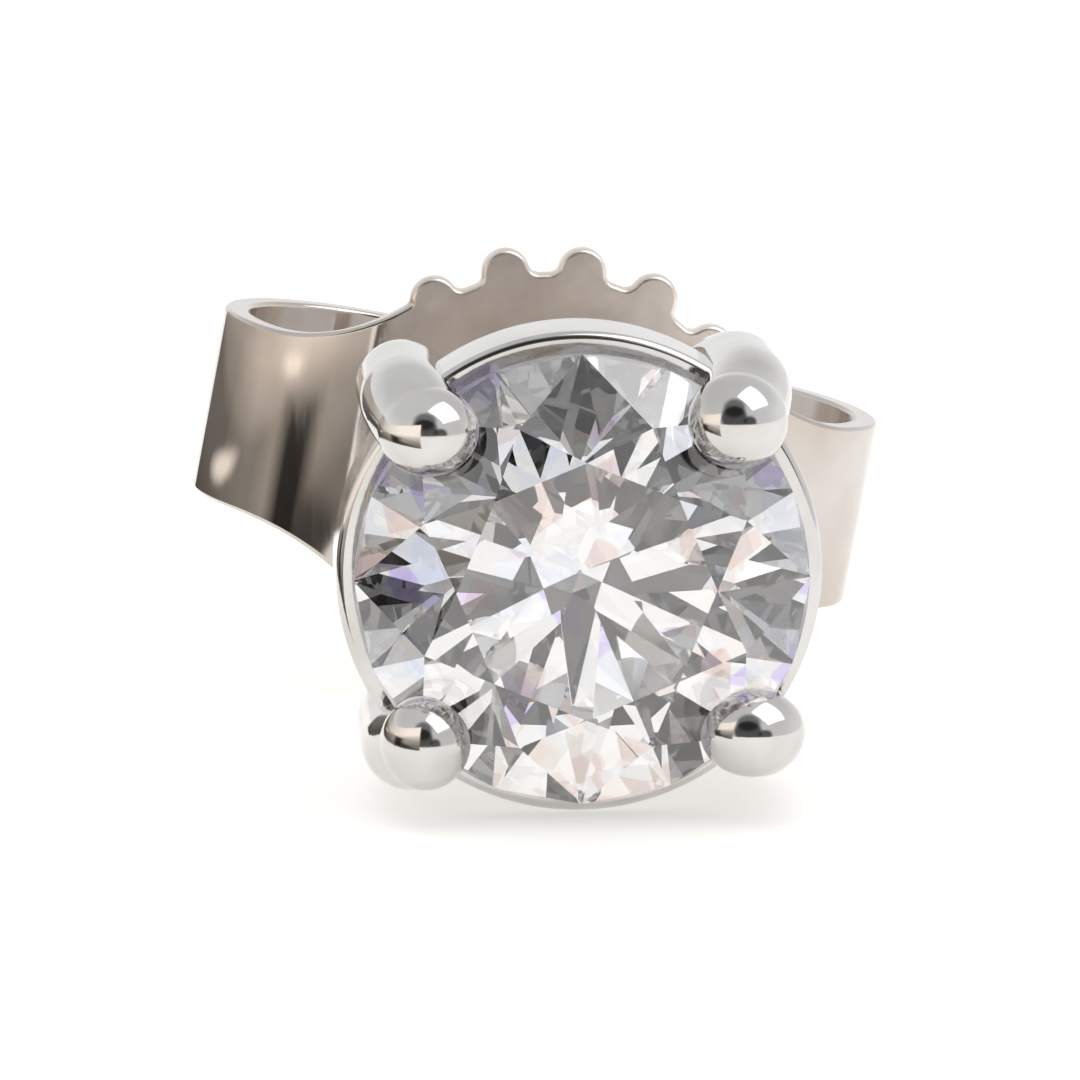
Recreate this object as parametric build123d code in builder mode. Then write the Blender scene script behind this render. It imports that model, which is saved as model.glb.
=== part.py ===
"""Stud earring with a round brilliant stone in a four-prong basket and a butterfly back.

Millimetres, +Z up. The earring lies on its side on a surface at Z = 0, with its post level
along Y, the stone facing -Y and the post's free end towards +Y. The origin is the middle of
the earring's outline on that surface. "Depth" is the distance behind the stone's girdle.
"""

from build123d import *
import os
from math import atan, cos, degrees, radians, sin, tan

# ---- Stone: a round brilliant -------------------------------------------------------------
stone_diameter = 4.1
girdle_thickness = 0.12
table_share = 0.57  # table's width over the stone's
crown_angle = 34.5
star_share = 0.50  # how far the star facets reach from the table's edge to the girdle
pavilion_angle = 40.8
lower_half_share = 0.77  # how far the lower half facets reach from the girdle to the culet
culet_radius = 0.02
mains = 8

# ---- Setting: rail, prongs, base and post, soldered into one piece ------------------------
rail_radius = 2.20
rail_width = 0.34
rail_depth = 0.32
rail_length = 0.88
rail_rounding = 0.12

prong_count = 4
prong_radius = 0.41
prong_line_radius = 2.22  # from the post's axis to the middle of the straight part
prong_corner_depth = 1.75
prong_bend_radius = 0.8
neck_bend_radius = 0.6
ball_radius = 0.435
ball_line_radius = 2.04
ball_depth = -0.30

base_depth = 2.50
base_radius = 1.65
base_length = 0.55
base_rounding = 0.18
foot_radius = 0.80
foot_length = 0.35

post_radius = 0.40
post_length = 9.5
post_tip_rounding = 0.30
notch_from_tip = 2.4
notch_length = 0.7
notch_cut = 0.09

seat_gap = 0.03  # between the stone and the metal that holds it

# ---- Butterfly back -----------------------------------------------------------------------
back_depth = 5.42  # front face of its plate
back_thickness = 0.24
scallop_pitch = 21.0  # degrees from one scallop to the next
scallops_per_side = 5
scallop_cut = 0.27
scallop_width = 0.46  # each ends in a full round
root_rounding = 0.10
wing_reach = 3.22  # from the post's axis to the outer side of a curl
wing_width = 1.80
flare_width = 3.05
flare_reach = 1.45
taper_length = 0.4  # how far before the wing's end its narrow part starts
curl_start_radius = 1.36  # the curl tightens as it turns back to the post
curl_back_radius = 1.32
curl_end_radius = 0.62
curl_end_turn = 75
bore_gap = 0.035
grip_gap = 0.03

point_tolerance = 0.005

# ---- Values worked out from the ones above --------------------------------------------------
stone_radius = stone_diameter / 2
half_girdle = girdle_thickness / 2
table_radius = table_share * stone_radius
crown_rise = (stone_radius - table_radius) * tan(radians(crown_angle))
base_end = base_depth + base_length + foot_length
post_end = base_end + post_length
front_reach = ball_radius - ball_depth

axis_height = rail_radius
girdle_y = (front_reach - post_end) / 2

# Two scallops at a time stand on the surface, level with the rail, so the back is rolled by
# half a scallop.
back_roll = scallop_pitch / 2
scallop_end = scallop_width / 2
scallop_radius = scallop_end + (rail_radius - scallop_end) / cos(radians(back_roll))
plate_radius = scallop_radius - scallop_cut
taper_reach = wing_reach - taper_length
clear_reach = wing_reach + taper_length

prong_turns = [360 / prong_count * (n + 0.5) for n in range(prong_count)]

girdle_centre = Vector(0, girdle_y, axis_height)
backwards = Vector(0, 1, 0)
post_axis = Axis(girdle_centre, backwards)


def outward(turn):
    """Direction away from the post's axis, turned anticlockwise from +X as seen from the front."""
    return Vector(1, 0, 0).rotate(Axis.Y, -turn)


def spoke_plane(turn):
    """The plane through the post's axis at this turn: X is the radius, Y the depth."""
    return Plane(origin=girdle_centre, x_dir=outward(turn), z_dir=outward(turn).cross(backwards))


girdle_plane = Plane(origin=girdle_centre, x_dir=outward(0), z_dir=-backwards)
section_plane = spoke_plane(0)
back_centre = girdle_centre + backwards * back_depth
back_plane = Plane(origin=back_centre, x_dir=outward(-back_roll), z_dir=-backwards)
curl_plane = Plane(origin=back_centre, x_dir=outward(-back_roll), z_dir=outward(90 - back_roll))

os.makedirs("parts", exist_ok=True)


def facet_plane(turn, radius, height, slope):
    """The plane of a facet that faces this turn and passes this radius and height.

    Height is towards the table. A slope above 0 is on the crown, below 0 on the pavilion.
    """
    spoke = spoke_plane(turn)
    tilt = radians(abs(slope))
    side = -1 if slope > 0 else 1
    facing = spoke.x_dir * tan(tilt) + spoke.y_dir * side
    return Plane(origin=spoke.from_local_coords((radius, -height, 0)), z_dir=facing)


# ---- Round brilliant stone ------------------------------------------------------------------
main_step = 360 / mains
half_step = main_step / 2
quarter_step = main_step / 4
chord_radius = stone_radius * cos(radians(quarter_step))

table_edge_radius = table_radius * cos(radians(half_step))
star_radius = table_edge_radius + star_share * (stone_radius - table_edge_radius)
star_rise = (stone_radius - star_radius * cos(radians(half_step))) * tan(radians(crown_angle))
star_slope = degrees(atan((crown_rise - star_rise) / (star_radius - table_edge_radius)))
upper_half_run = (stone_radius - star_radius) * cos(radians(quarter_step))
upper_half_slope = degrees(atan(star_rise / upper_half_run))

ridge_radius = (1 - lower_half_share) * stone_radius
ridge_drop = (stone_radius - ridge_radius * cos(radians(half_step))) * tan(radians(pavilion_angle))
lower_half_run = (stone_radius - ridge_radius) * cos(radians(quarter_step))
lower_half_slope = degrees(atan(ridge_drop / lower_half_run))
culet_drop = (stone_radius - culet_radius) * tan(radians(pavilion_angle))

# Facets per turn, first facet's turn, radius and height that they pass, and slope.
facet_rows = [
    (mains, 0, stone_radius, half_girdle, crown_angle),
    (mains, half_step, table_edge_radius, half_girdle + crown_rise, star_slope),
    (2 * mains, quarter_step, chord_radius, half_girdle, upper_half_slope),
    (2 * mains, quarter_step, chord_radius, -half_girdle, -lower_half_slope),
    (mains, 0, stone_radius, -half_girdle, -pavilion_angle),
]

with BuildPart() as stone:
    with BuildSketch(girdle_plane.offset(half_girdle + crown_rise)):
        Circle(stone_radius)
    extrude(amount=-(crown_rise + girdle_thickness + culet_drop))
    for count, first_turn, radius, height, slope in facet_rows:
        for n in range(count):
            facet = facet_plane(first_turn + 360 / count * n, radius, height, slope)
            split(bisect_by=facet, keep=Keep.BOTTOM)

stone.part.label = "stone"
export_step(stone.part, "parts/stone.step")

# ---- Room that the stone takes in its setting -------------------------------------------------
room_front = -2 * front_reach

with BuildPart() as stone_room:
    with BuildSketch(section_plane):
        with BuildLine():
            Polyline(
                (0, room_front),
                (table_radius + seat_gap, room_front),
                (table_radius + seat_gap, -half_girdle - crown_rise),
                (stone_radius + seat_gap, -half_girdle - seat_gap),
                (stone_radius + seat_gap, half_girdle + seat_gap),
                (0, half_girdle + seat_gap + (stone_radius + seat_gap) * tan(radians(lower_half_slope))),
                close=True,
            )
        make_face()
    revolve(axis=post_axis)

# ---- Setting ----------------------------------------------------------------------------------
with BuildPart() as prong:
    # A bead over the stone's edge, a straight wire past the rail, then a bend in to the base.
    with BuildLine(section_plane) as prong_line:
        FilletPolyline(
            (ball_line_radius, ball_depth),
            (prong_line_radius, rail_depth),
            (prong_line_radius, prong_corner_depth),
            (base_radius - prong_radius, base_depth + base_length / 2),
            radius=(neck_bend_radius, prong_bend_radius),
        )
    with BuildSketch(prong_line.line ^ 0):
        Circle(prong_radius)
    sweep()
    with Locations(section_plane.from_local_coords((ball_line_radius, ball_depth, 0))):
        Sphere(ball_radius)
    add(stone_room.part, mode=Mode.SUBTRACT)

with BuildPart() as setting:
    # Rail close behind the girdle, crossed by the prongs.
    with BuildSketch(section_plane):
        with Locations((rail_radius - rail_width / 2, rail_depth + rail_length / 2)):
            RectangleRounded(rail_width, rail_length, rail_rounding)
    revolve(axis=post_axis)
    for turn in prong_turns:
        add(prong.part.rotate(post_axis, -turn))

    # Base where the prongs meet, with a tapered foot that carries the post.
    with BuildSketch(section_plane) as base_profile:
        Polygon(
            (0, base_depth),
            (base_radius, base_depth),
            (base_radius, base_depth + base_length),
            (foot_radius, base_depth + base_length),
            (post_radius, base_end),
            (0, base_end),
            align=None,
        )
        fillet(base_profile.vertices().group_by(Axis.X)[-1], radius=base_rounding)
    revolve(axis=post_axis)

    # Post with a rounded tip and a friction notch near it.
    with BuildSketch(girdle_plane.offset(-base_end)):
        Circle(post_radius)
    extrude(amount=-post_length)
    fillet(setting.edges().sort_by(Axis.Y)[-1], radius=post_tip_rounding)
    with BuildSketch(section_plane):
        with Locations((post_radius, post_end - notch_from_tip)):
            Polygon((-notch_cut, 0), (notch_cut, notch_length), (notch_cut, -notch_length), align=None)
    revolve(axis=post_axis, mode=Mode.SUBTRACT)

setting.part.label = "setting"
export_step(setting.part, "parts/setting.step")

# ---- Butterfly back -----------------------------------------------------------------------------
curl_middle = wing_reach - back_thickness / 2 - curl_start_radius
curl_grip_radius = (
    curl_middle + curl_start_radius - curl_back_radius - back_thickness / 2 - post_radius - grip_gap
)
# Radius and turn of each arc, from the plate outwards, back, in beside the post and round.
curl_arcs = [
    (curl_start_radius, 90),
    (curl_back_radius, 90),
    (curl_grip_radius, 90),
    (curl_end_radius, curl_end_turn),
]


def curl_path(side, first, last):
    """Draws a curl's middle line from one of its arcs to another, on one side of the post."""
    start = Vector(side * curl_middle, back_thickness / 2)
    heading = Vector(side, 0)
    for n, (radius, turn) in enumerate(curl_arcs):
        arc = JernArc(start, heading, radius, side * turn, mode=Mode.PRIVATE)
        if first <= n <= last:
            add(arc)
        start = arc @ 1
        heading = arc % 1


with BuildPart() as butterfly_back:
    # Front of each curl, flared where it leaves the plate.
    with BuildSketch(curl_plane):
        for side in (-1, 1):
            with BuildLine():
                curl_path(side, 0, 0)
            trace(line_width=back_thickness)
    extrude(amount=flare_width / 2, both=True)
    with BuildSketch(back_plane):
        for side in (-1, 1):
            with BuildLine():
                Polyline(
                    (side * flare_reach, flare_width / 2),
                    (0, flare_width / 2),
                    (0, -flare_width / 2),
                    (side * flare_reach, -flare_width / 2),
                )
                Line((side * clear_reach, -wing_width / 2), (side * clear_reach, wing_width / 2))
                for end in (-1, 1):
                    Spline(
                        (side * flare_reach, end * flare_width / 2),
                        (side * taper_reach, end * wing_width / 2),
                        tangents=((side, -end), (side, 0)),
                    )
                    Line(
                        (side * taper_reach, end * wing_width / 2),
                        (side * clear_reach, end * wing_width / 2),
                    )
            make_face()
    extrude(amount=-2 * curl_start_radius, mode=Mode.INTERSECT)

    # Plate with scalloped edges above and below.
    with BuildSketch(back_plane) as plate_outline:
        Circle(plate_radius)
        for middle in (90, 270):
            with PolarLocations(
                scallop_radius - scallop_end,
                scallops_per_side,
                start_angle=middle - scallop_pitch * (scallops_per_side - 1) / 2,
                angular_range=scallop_pitch * (scallops_per_side - 1),
                endpoint=True,
            ):
                Circle(scallop_end)
        scallop_roots = plate_outline.vertices().filter_by(
            lambda v: abs(Vector(v.X, v.Y).length - plate_radius) < point_tolerance
        )
        fillet(scallop_roots, radius=root_rounding)
    extrude(amount=-back_thickness)

    # Rest of each curl, rolled back against the post.
    with BuildSketch(curl_plane):
        for side in (-1, 1):
            with BuildLine():
                curl_path(side, 1, len(curl_arcs) - 1)
            trace(line_width=back_thickness)
    extrude(amount=wing_width / 2, both=True)

    # Bore for the post.
    with BuildSketch(back_plane):
        Circle(post_radius + bore_gap)
    extrude(amount=-back_thickness, mode=Mode.SUBTRACT)

butterfly_back.part.label = "butterfly_back"
export_step(butterfly_back.part, "parts/butterfly_back.step")
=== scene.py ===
"""Stud earring: a round brilliant in a four-prong basket of white gold, with a butterfly back.

The pieces are drawn in millimetres round the girdle: X to the right, Y along the post towards
its tip, and Z up. Each finished piece is then brought to its real size and place.
"""

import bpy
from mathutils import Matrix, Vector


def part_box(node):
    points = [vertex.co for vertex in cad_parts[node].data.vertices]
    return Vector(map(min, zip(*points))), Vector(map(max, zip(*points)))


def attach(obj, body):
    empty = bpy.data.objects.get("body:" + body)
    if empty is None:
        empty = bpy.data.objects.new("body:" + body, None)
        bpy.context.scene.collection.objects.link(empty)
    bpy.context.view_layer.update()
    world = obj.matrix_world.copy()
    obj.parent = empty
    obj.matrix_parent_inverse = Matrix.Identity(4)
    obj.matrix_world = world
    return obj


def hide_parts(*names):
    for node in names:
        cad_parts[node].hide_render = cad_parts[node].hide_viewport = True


bl_info = {
    "name": "Stud Earring",
    "version": (1, 0, 0),
    "blender": (4, 5, 0),
    "location": "View3D > Sidebar > Earring",
    "description": "Models a four-prong stud earring with its butterfly back, and a small studio",
    "category": "Add Mesh",
}

from math import acos, asin, atan2, cos, pi, radians, sin, tan
from types import SimpleNamespace

import bmesh
import bpy
from bpy.props import FloatProperty, FloatVectorProperty, IntProperty, PointerProperty
from mathutils import Vector
from mathutils.geometry import interpolate_bezier

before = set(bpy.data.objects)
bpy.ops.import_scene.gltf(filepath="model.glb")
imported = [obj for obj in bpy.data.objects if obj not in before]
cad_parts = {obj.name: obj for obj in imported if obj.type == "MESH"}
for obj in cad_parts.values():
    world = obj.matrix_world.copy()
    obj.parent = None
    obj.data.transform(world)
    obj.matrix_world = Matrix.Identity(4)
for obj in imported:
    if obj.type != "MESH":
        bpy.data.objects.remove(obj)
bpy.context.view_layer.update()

MM = 0.001
ACROSS = Vector((1, 0, 0))
ALONG = Vector((0, 1, 0))
UP = Vector((0, 0, 1))
# Millimetres within which doubled points are merged, and within which a point is on a line.
MERGE_GAP = 0.0005
TOUCH = 0.001


# ---- Sizes and finishes -------------------------------------------------------------------------
def length(name, description, millimetres):
    """A length that the sidebar shows in the scene's units."""
    return FloatProperty(
        name=name, description=description, default=millimetres * MM, unit="LENGTH", precision=5
    )


def angle(name, description, degrees):
    return FloatProperty(
        name=name, description=description, default=radians(degrees), unit="ROTATION"
    )


def share(name, description, default):
    return FloatProperty(
        name=name, description=description, default=default, min=0, max=1, subtype="FACTOR"
    )


def colour(name, description, default):
    return FloatVectorProperty(
        name=name, description=description, default=default, size=3, min=0, max=1, subtype="COLOR"
    )


def power(name, description, watts):
    return FloatProperty(name=name, description=description, default=watts, unit="POWER")


class EarringSizes(bpy.types.PropertyGroup):
    """The earring's sizes; a depth counts from the stone's girdle towards the post's tip"""

    stone_radius: length("Stone radius", "Half the stone's width", 2.05)
    girdle: length("Girdle", "Thickness of the stone's edge", 0.12)
    table_share: share("Table", "Width of the stone's flat top over its whole width", 0.57)
    crown_angle: angle("Crown angle", "Slope of the stone's upper facets", 34.5)
    lower_angle: angle("Pavilion angle", "Slope of the stone's lower half facets", 42.0)
    seat_gap: length("Seat gap", "Room between the stone and the prongs", 0.03)

    rail_radius: length("Rail radius", "From the post's line to the outside of the rail", 2.20)
    rail_width: length("Rail width", "Thickness of the rail's wall", 0.34)
    rail_depth: length("Rail depth", "From the girdle back to the rail's front", 0.32)
    rail_length: length("Rail length", "From the rail's front to its rear", 0.88)
    rail_rounding: length("Rail rounding", "Radius on the rail's edges", 0.07)

    prong_radius: length("Prong radius", "Half the thickness of the prong wire", 0.41)
    prong_line: length("Prong line", "From the post's line to the middle of a prong", 2.22)
    prong_corner: length("Prong corner", "Depth where a prong turns in to the base", 1.75)
    prong_bend: length("Prong bend", "Radius of that turn", 1.3)
    neck_bend: length("Neck bend", "Radius of the turn below the bead", 1.7)
    bead_radius: length("Bead radius", "Half the width of the bead that holds the stone", 0.435)
    bead_line: length("Bead line", "From the post's line to the bead's middle", 2.04)
    bead_rise: length("Bead rise", "From the girdle forward to the bead's middle", 0.30)

    base_radius: length("Base radius", "Half the width of the disc where the prongs meet", 1.65)
    base_depth: length("Base depth", "From the girdle back to the disc", 2.50)
    base_length: length("Base thickness", "Thickness of the disc", 0.55)
    base_rounding: length("Base rounding", "Radius on the disc's edges", 0.18)
    foot_radius: length("Foot radius", "Half the width of the post's foot", 0.80)
    foot_length: length("Foot length", "Length of the taper from the disc to the post", 0.35)

    post_radius: length("Post radius", "Half the thickness of the post", 0.40)
    post_length: length("Post length", "From the foot to the tip", 9.5)
    tip_rounding: length("Tip rounding", "Radius on the post's tip", 0.30)
    notch_from_tip: length("Notch", "From the post's tip to the friction notch", 2.4)
    notch_reach: length("Notch reach", "Half the length of the notch", 0.35)
    notch_cut: length("Notch depth", "How deep the notch is cut", 0.09)

    back_depth: length("Back depth", "From the girdle to the front of the back's plate", 5.42)
    sheet: length("Sheet", "Thickness of the back's sheet", 0.24)
    scallop_pitch: angle("Scallop pitch", "Turn from one scallop to the next", 21)
    scallops: IntProperty(
        name="Scallops", description="Scallops on one side of the plate", default=5, min=1
    )
    scallop_end: length("Scallop radius", "Radius of each scallop's round end", 0.23)
    scallop_cut: length("Scallop cut", "How deep the gaps between scallops are", 0.27)
    root_rounding: length("Root rounding", "Radius in the gaps between scallops", 0.10)
    flare_reach: length("Flare", "Where the plate starts to narrow to a wing", 1.45)
    flare_half: length("Flare half-width", "Half the plate's width there", 1.525)
    wing_half: length("Wing half-width", "Half the width of a wing", 0.90)
    wing_narrow: length("Wing start", "Where the narrow part of a wing starts", 2.82)
    curl_middle: length("Curl start", "Where the sheet leaves the plate's plane", 1.74)
    curl_radius: length("Curl radius", "Radius of the curl's first quarter", 1.36)
    bore_radius: length("Bore radius", "Radius of the hole for the post", 0.435)
    sheet_rounding: length("Sheet rounding", "Radius on the sheet's edges", 0.045)


class EarringFinishes(bpy.types.PropertyGroup):
    """The colours and polish of its metals and stone, and the light on them"""

    gold_bright: colour("White gold", "Clean rhodium-plated gold", (0.70, 0.69, 0.68))
    gold_worn: colour("Handled gold", "The same gold where it is handled", (0.60, 0.58, 0.555))
    gold_polish: share("Polish", "Roughness of the polished setting", 0.07)
    back_bright: colour("Back gold", "The back's paler gold", (0.66, 0.625, 0.595))
    back_worn: colour("Worn back gold", "The same gold, thinly plated", (0.56, 0.50, 0.45))
    # The plate gold is paler than the back gold partly as painted light, which lifts the shade on
    # the plate, and partly as a warmer tone.
    plate_gold_and_painted_light: colour("Plate gold", "The satin front of the back's plate", (0.90, 0.81, 0.75))
    back_polish: share("Back polish", "Roughness of the back's pressed sheet", 0.05)
    diamond_tint: colour("Diamond", "The stone's body colour", (0.97, 0.97, 0.975))
    floor_white: colour("Floor", "The pale floor", (0.62, 0.615, 0.605))
    floor_glow: share("Floor glow", "Light that comes up through the floor", 0.56)
    softbox_power: power("Softbox", "Light that the metal and the stone reflect", 0.08)
    overhead_power: power("Overhead", "Light that falls on the floor", 0.105)


def in_millimetres(sizes):
    """All sizes by name, the lengths in millimetres and the angles in radians."""
    found = {name: getattr(sizes, name) for name in sizes.__annotations__}
    for name in found:
        if sizes.bl_rna.properties[name].unit == "LENGTH":
            found[name] /= MM
    return SimpleNamespace(**found)


def chosen(context):
    """The sizes in millimetres, and the finishes, as the sidebar shows them."""
    return in_millimetres(context.scene.earring_sizes), context.scene.earring_finishes


def girdle_centre(size):
    """Middle of the stone's girdle in the earring's own place, in metres."""
    stone_low, stone_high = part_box("stone")
    setting_low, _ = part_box("setting")
    middle = (stone_low + stone_high) / 2
    reach = (size.bead_radius + size.bead_rise) * MM
    return Vector((middle.x, setting_low.y + reach, middle.z))


# ---- Workbench: what the pieces share -----------------------------------------------------------
def deselect():
    bpy.ops.object.select_all(action="DESELECT")


def select_only(piece):
    deselect()
    piece.select_set(True)
    bpy.context.view_layer.objects.active = piece


def name_piece(name):
    """Names the new object, and puts its place into its mesh."""
    piece = bpy.context.object
    piece.name = piece.data.name = name
    bpy.ops.object.transform_apply(location=True, rotation=True, scale=True)
    return piece


def open_mesh(mode):
    """Edit mode with nothing selected."""
    bpy.ops.object.mode_set(mode="EDIT")
    bpy.ops.mesh.select_mode(type=mode)
    bpy.ops.mesh.select_all(action="DESELECT")


def close_mesh():
    bpy.ops.object.mode_set(mode="OBJECT")


def select_where(parts, test):
    """Selects the vertices, edges or faces ("verts", "edges", "faces") that pass the test."""
    mesh = bpy.context.edit_object.data
    shape = bmesh.from_edit_mesh(mesh)
    for part in getattr(shape, parts):
        part.select_set(test(part))
    shape.select_flush_mode()
    bmesh.update_edit_mesh(mesh)


def extrude(move=(0, 0, 0)):
    bpy.ops.mesh.extrude_region_move(TRANSFORM_OT_translate={"value": tuple(move)})


def spin(steps, turn, centre, axis):
    """Spins the selection; the turn counts anticlockwise when the axis points at the viewer."""
    bpy.ops.mesh.spin(steps=steps, angle=-turn, center=centre, axis=axis)


def resize(scale, centre):
    bpy.ops.transform.resize(value=scale, center_override=centre)


def turn_selection(turn, axis, centre):
    """Turns the selection anticlockwise about "X", "Y" or "Z" through a centre."""
    bpy.ops.transform.rotate(value=-turn, orient_axis=axis, center_override=centre)


def merge_doubles():
    bpy.ops.mesh.select_all(action="SELECT")
    bpy.ops.mesh.remove_doubles(threshold=MERGE_GAP)


def tidy_mesh():
    """Merges doubled points and turns all faces outwards."""
    merge_doubles()
    bpy.ops.mesh.normals_make_consistent(inside=False)


def finish_with(piece, kind, **settings):
    """Adds a modifier with these settings, and applies it."""
    bpy.ops.object.modifier_add(type=kind)
    modifier = piece.modifiers[-1]
    for name, value in settings.items():
        setattr(modifier, name, value)
    bpy.ops.object.modifier_apply(modifier=modifier.name)


def round_edges(piece, width, segments, from_angle):
    """Rounds the edges that are sharper than an angle in degrees."""
    finish_with(
        piece,
        "BEVEL",
        width=width,
        segments=segments,
        limit_method="ANGLE",
        angle_limit=radians(from_angle),
        use_clamp_overlap=False,
    )


def smooth(piece, sharp_from, weighted=True):
    """Smooth shading up to an angle in degrees, with flat faces kept flat if weighted."""
    select_only(piece)
    bpy.ops.object.shade_smooth_by_angle(angle=radians(sharp_from))
    if weighted:
        finish_with(piece, "WEIGHTED_NORMAL", keep_sharp=True)


def bring_to_size(piece, size):
    """From millimetres round the girdle to real size in the earring's place."""
    select_only(piece)
    piece.scale = (MM, MM, MM)
    piece.location = girdle_centre(size)
    bpy.ops.object.transform_apply(location=True, rotation=True, scale=True)


def hand_over(piece, body, node, material):
    """Gives a finished piece its body and its material, and hides the CAD node that it stands for.
    """
    piece.data.materials.clear()
    piece.data.materials.append(material)
    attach(piece, body)
    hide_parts(node)


def add_to_setting(piece, size, finish):
    bring_to_size(piece, size)
    hand_over(piece, "stud", "setting", setting_gold(finish))


# ---- Materials ----------------------------------------------------------------------------------
def add_node(tree, kind, inputs=None, **settings):
    """Adds a node, and fills its sockets with values or with links from other sockets."""
    node = tree.nodes.new("ShaderNode" + kind)
    for name, value in settings.items():
        setattr(node, name, value)
    for name, value in (inputs or {}).items():
        if isinstance(value, bpy.types.NodeSocket):
            tree.links.new(value, node.inputs[name])
        else:
            node.inputs[name].default_value = value
    return node


def add_range(tree, value, low, high, to_low=0.0, to_high=1.0):
    """Spreads a value between two limits over another range."""
    node = add_node(
        tree,
        "MapRange",
        {"Value": value, "From Min": low, "From Max": high, "To Min": to_low, "To Max": to_high},
    )
    return node.outputs["Result"]


def add_mix(tree, factor, first, second):
    """Mixes two colours."""
    mix = add_node(tree, "Mix", {0: factor, 6: first, 7: second}, data_type="RGBA")
    return mix.outputs[2]


def add_blend(tree, factor, first, second):
    """Mixes two plain values."""
    mix = add_node(tree, "Mix", {0: factor, 2: first, 3: second}, data_type="FLOAT")
    return mix.outputs[0]


def add_maths(tree, operation, *values):
    """Works out one value from others."""
    return add_node(tree, "Math", dict(enumerate(values)), operation=operation).outputs[0]


def add_vector_maths(tree, operation, *values):
    """Works out a vector from others, or their length, distance or dot product."""
    node = add_node(tree, "VectorMath", dict(enumerate(values)), operation=operation)
    plain = operation in ("LENGTH", "DISTANCE", "DOT_PRODUCT")
    return node.outputs["Value" if plain else "Vector"]


def add_split(tree, vector):
    return add_node(tree, "SeparateXYZ", {"Vector": vector}).outputs


def opaque(tone, depth=1.0):
    """A colour for a socket, deepened by a share."""
    return (*(depth * c for c in tone), 1)


def new_material(name):
    """A new material, its node tree and its Principled shader."""
    material = bpy.data.materials.new(name)
    material.use_nodes = True
    tree = material.node_tree
    return material, tree, tree.nodes["Principled BSDF"]


def new_group(name, inputs, outputs):
    """An empty node group with named sockets, and its two end nodes."""
    group = bpy.data.node_groups.new(name, "ShaderNodeTree")
    for socket, kind in inputs.items():
        group.interface.new_socket(name=socket, in_out="INPUT", socket_type="NodeSocket" + kind)
    for socket, kind in outputs.items():
        group.interface.new_socket(name=socket, in_out="OUTPUT", socket_type="NodeSocket" + kind)
    return group, group.nodes.new("NodeGroupInput").outputs, group.nodes.new("NodeGroupOutput")


def polishing_marks():
    """Hairlines left by the polishing mop, and the slightly duller places between them."""
    if "polishing marks" in bpy.data.node_groups:
        return bpy.data.node_groups["polishing marks"]
    group, given, result = new_group(
        "polishing marks",
        {"Vector": "Vector", "Stretch": "Vector", "Polish": "Float", "Spread": "Float"},
        {"Roughness": "Float", "Height": "Float"},
    )
    drawn = add_vector_maths(group, "MULTIPLY", given["Vector"], given["Stretch"])
    hairlines = add_node(
        group, "TexNoise", {"Vector": drawn, "Scale": 9000, "Detail": 3, "Roughness": 0.6}
    ).outputs["Fac"]
    patches = add_node(
        group, "TexNoise", {"Vector": given["Vector"], "Scale": 900, "Detail": 2, "Roughness": 0.5}
    ).outputs["Fac"]
    patchy = add_range(group, patches, 0.35, 0.7)
    scratched = add_range(group, hairlines, 0.3, 0.75)
    dull = add_maths(group, "MULTIPLY", patchy, scratched)
    rough = add_maths(group, "MULTIPLY_ADD", dull, given["Spread"], given["Polish"])
    group.links.new(rough, result.inputs["Roughness"])
    group.links.new(hairlines, result.inputs["Height"])
    return group


def handled_tone():
    """Two tones of one metal in soft patches, as handling and thin plating leave them."""
    if "handled tone" in bpy.data.node_groups:
        return bpy.data.node_groups["handled tone"]
    group, given, result = new_group(
        "handled tone",
        {"Vector": "Vector", "Patches": "Float", "Bright": "Color", "Worn": "Color"},
        {"Color": "Color"},
    )
    patches = add_node(
        group,
        "TexNoise",
        {"Vector": given["Vector"], "Scale": given["Patches"], "Detail": 3, "Roughness": 0.55},
    )
    worn = add_range(group, patches.outputs["Fac"], 0.38, 0.66)
    tone = add_mix(group, worn, given["Bright"], given["Worn"])
    group.links.new(tone, result.inputs["Color"])
    return group


def add_handled_tone(tree, place, patches, bright, worn):
    return add_node(
        tree,
        "Group",
        {"Vector": place, "Patches": patches, "Bright": bright, "Worn": worn},
        node_tree=handled_tone(),
    ).outputs["Color"]


def gold(name, bright, worn, patches, polish, spread, stretch, scratch):
    """A polished white gold; the scratches' depth is in metres."""
    if name in bpy.data.materials:
        return bpy.data.materials[name]
    material, tree, shader = new_material(name)
    place = add_node(tree, "TexCoord").outputs["Object"]
    tone = add_handled_tone(tree, place, patches, opaque(bright), opaque(worn))
    marks = add_node(
        tree,
        "Group",
        {"Vector": place, "Stretch": stretch, "Polish": polish, "Spread": spread},
        node_tree=polishing_marks(),
    )
    relief = add_node(
        tree, "Bump", {"Height": marks.outputs["Height"], "Strength": 1.0, "Distance": scratch}
    )
    tree.links.new(tone, shader.inputs["Base Color"])
    tree.links.new(marks.outputs["Roughness"], shader.inputs["Roughness"])
    tree.links.new(relief.outputs["Normal"], shader.inputs["Normal"])
    shader.inputs["Metallic"].default_value = 1.0
    return material


def setting_gold(finish):
    return gold(
        "polished_white_gold",
        finish.gold_bright,
        finish.gold_worn,
        patches=1100,
        polish=finish.gold_polish,
        spread=0.10,
        stretch=(1.0, 0.25, 1.0),
        scratch=0.0000006,
    )


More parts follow.
